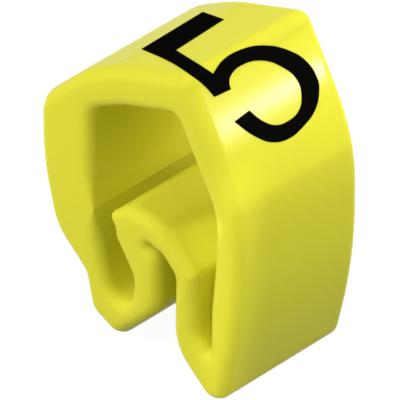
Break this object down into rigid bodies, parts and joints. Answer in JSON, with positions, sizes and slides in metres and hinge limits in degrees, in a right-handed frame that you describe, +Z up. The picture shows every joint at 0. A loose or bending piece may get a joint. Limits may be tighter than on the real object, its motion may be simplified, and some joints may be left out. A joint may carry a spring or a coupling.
{
  "type": "cable marker",
  "caption": "Slip-on marker for a conductor: a short closed plastic section whose ridged roof and folded spring tongue grip the wire between them.",
  "frame": {"origin": "centre of the wire seat, half way along the marker", "axes": "+Y along the wire, +Z up to the ridge of the roof, +X towards the thin right wall above the pointed foot"},
  "size_m": [0.0048, 0.003, 0.0064],
  "materials": {
    "yellow_soft_plastic": "satin soft plastic, evenly coloured through"
  },
  "bodies": {
    "root": {"marker_body": "yellow_soft_plastic"}
  },
  "joints": []
}
